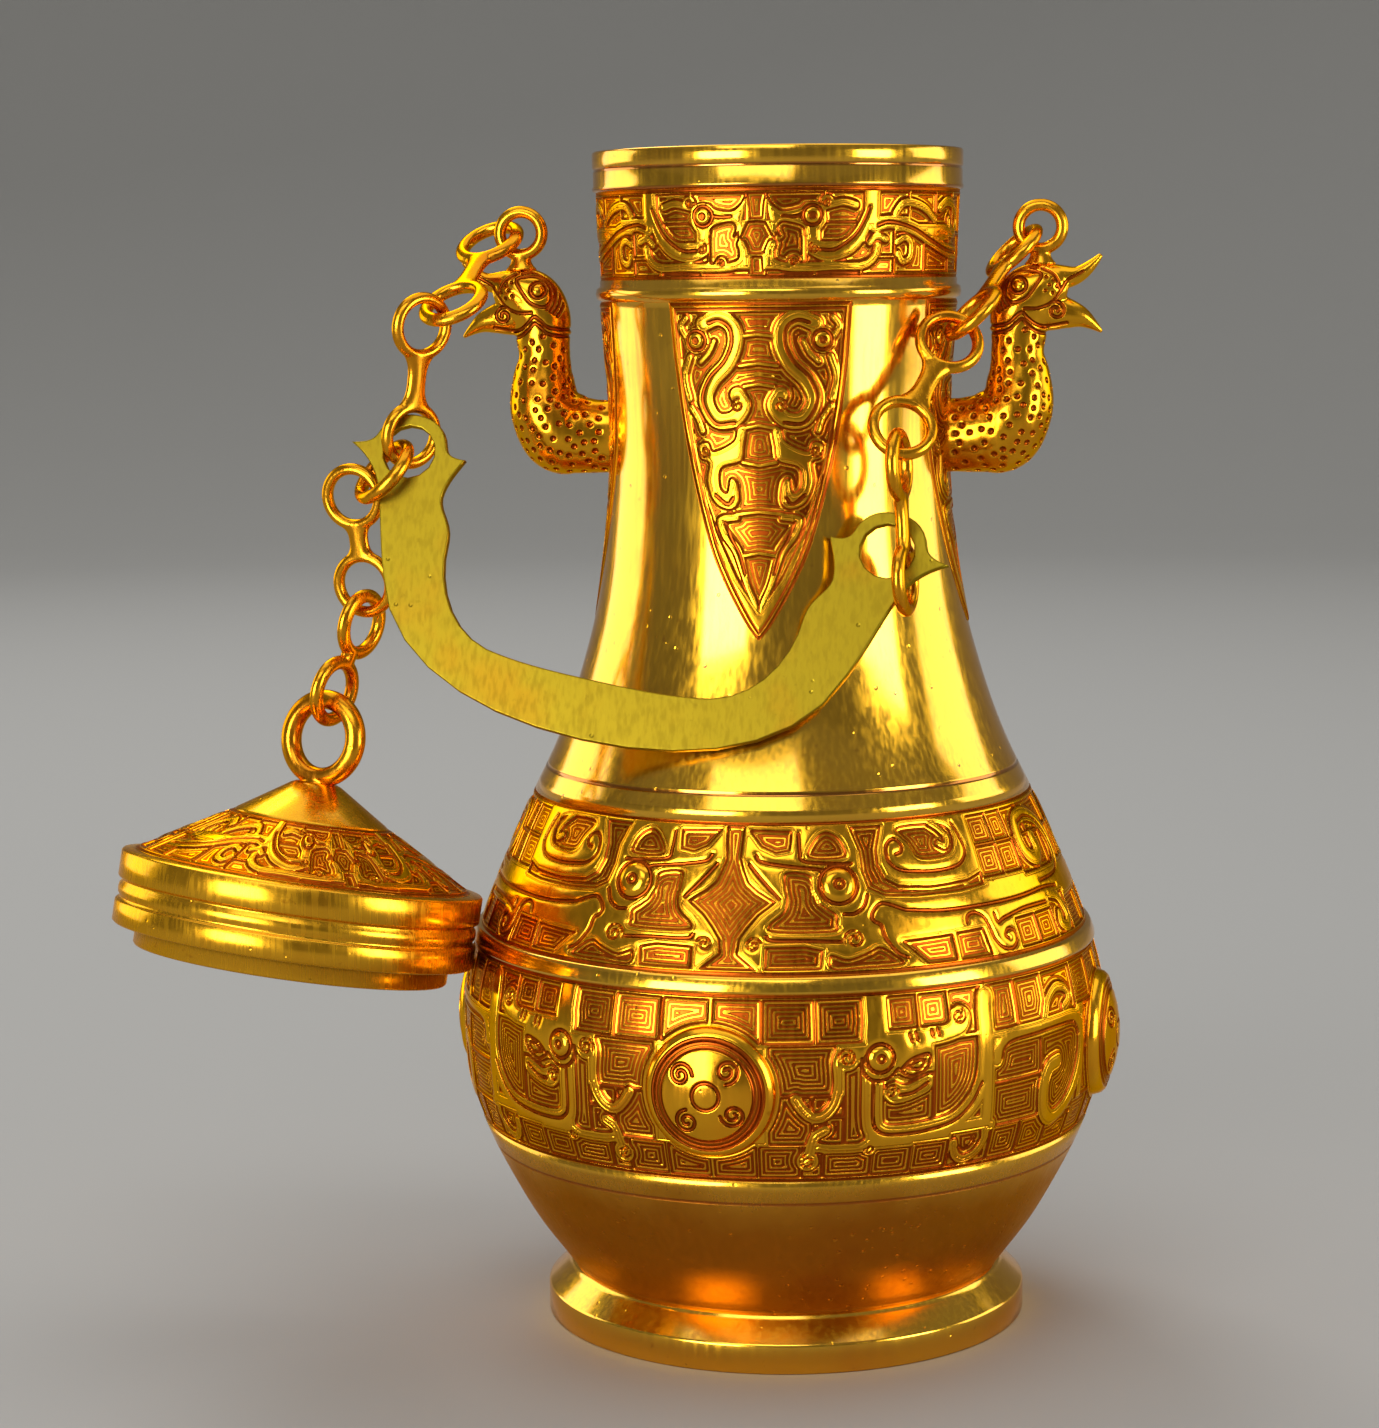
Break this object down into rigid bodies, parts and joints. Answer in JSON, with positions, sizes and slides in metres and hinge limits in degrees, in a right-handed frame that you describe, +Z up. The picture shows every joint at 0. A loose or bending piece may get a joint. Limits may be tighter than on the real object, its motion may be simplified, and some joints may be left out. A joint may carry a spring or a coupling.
{
  "type": "lidded bronze bottle",
  "caption": "Pear-shaped gilt bronze bottle on a foot, with bird-head lugs, linked chains, a crescent handle and a conical lid that hangs on its own chain.",
  "frame": {"origin": "centre of the flat underside of the base, on the bottle's axis", "axes": "+Z up along the bottle's axis, -Y the front where the handle hangs, birds on -X and +X"},
  "size_m": [0.2555, 0.175, 0.3],
  "materials": {
    "gilt_bronze": "polished gilt",
    "reddened_gilt": "satin gilt with red-brown recesses",
    "worn_brass": "scratched satin"
  },
  "bodies": {
    "bottle": {"vessel_body": "gilt_bronze", "foot_ring": "gilt_bronze", "base_plate": "worn_brass", "front_whorl_boss": "gilt_bronze", "right_whorl_boss": "gilt_bronze", "back_whorl_boss": "gilt_bronze", "left_whorl_boss": "gilt_bronze", "left_bird": "reddened_gilt", "right_bird": "reddened_gilt", "left_crest_ring": "gilt_bronze", "right_crest_ring": "gilt_bronze"},
    "left_link_1": {"left_link_1": "reddened_gilt"},
    "left_link_2": {"left_link_2": "reddened_gilt"},
    "joining_ring": {"joining_ring": "reddened_gilt"},
    "handle": {"handle": "worn_brass"},
    "right_link_1": {"right_link_1": "reddened_gilt"},
    "right_link_2": {"right_link_2": "reddened_gilt"},
    "right_link_3": {"right_link_3": "reddened_gilt"},
    "lid_link_1": {"lid_link_1": "reddened_gilt"},
    "lid_link_2": {"lid_link_2": "reddened_gilt"},
    "lid": {"lid": "gilt_bronze", "lid_ring": "gilt_bronze"}
  },
  "joints": [
    {"name": "bail_swing", "type": "hinge", "parent": "bottle", "child": "left_link_1", "pos_m": [-0.0715, 0, 0.27869], "axis": [-0.9999, 0, 0.0155], "range_deg": [0, 45]},
    {"name": "right_chain_swing", "type": "hinge", "parent": "bottle", "child": "right_link_1", "pos_m": [0.06248, 0, 0.27661], "axis": [-0.9999, 0, 0.0155], "range_deg": [0, 45]},
    {"name": "left_link_turn", "type": "hinge", "parent": "left_link_1", "child": "left_link_2", "pos_m": [-0.08315, -0.02537, 0.25986], "axis": [-0.276, -0.1004, -0.9559], "range_deg": [-12, 0]},
    {"name": "joining_ring_turn", "type": "hinge", "parent": "left_link_2", "child": "joining_ring", "pos_m": [-0.09297, -0.02895, 0.22584], "axis": [-0.276, -0.1004, -0.9559], "range_deg": [0, 12]},
    {"name": "handle_tilt", "type": "hinge", "parent": "joining_ring", "child": "handle", "pos_m": [-0.09634, -0.03145, 0.22095], "axis": [-0.975, 0.1192, 0.1874], "range_deg": [0, 6]},
    {"name": "right_link_turn", "type": "hinge", "parent": "right_link_1", "child": "right_link_2", "pos_m": [0.04784, -0.0238, 0.25555], "axis": [-0.3549, -0.5599, -0.7487], "range_deg": [-12, 12]},
    {"name": "last_link_turn", "type": "hinge", "parent": "right_link_2", "child": "right_link_3", "pos_m": [0.03452, -0.0448, 0.22745], "axis": [-0.3549, -0.5599, -0.7487], "range_deg": [-12, 12]},
    {"name": "lid_chain_swing", "type": "hinge", "parent": "joining_ring", "child": "lid_link_1", "pos_m": [-0.10121, -0.02993, 0.21735], "axis": [-0.094, 0.8645, 0.4938], "range_deg": [0, 20]},
    {"name": "lid_link_swing", "type": "hinge", "parent": "lid_link_1", "child": "lid_link_2", "pos_m": [-0.10397, -0.02569, 0.18692], "axis": [-0.9667, 0.1988, 0.1612], "range_deg": [0, 20]},
    {"name": "lid_swing", "type": "hinge", "parent": "lid_link_2", "child": "lid", "pos_m": [-0.11184, -0.03153, 0.16043], "axis": [0.3637, 0.915, -0.1746], "range_deg": [0, 25]}
  ],
  "couplings": [
    {"joint": "right_chain_swing", "follows": "bail_swing", "ratio": 1},
    {"joint": "joining_ring_turn", "follows": "left_link_turn", "ratio": -1},
    {"joint": "last_link_turn", "follows": "right_link_turn", "ratio": -1}
  ]
}
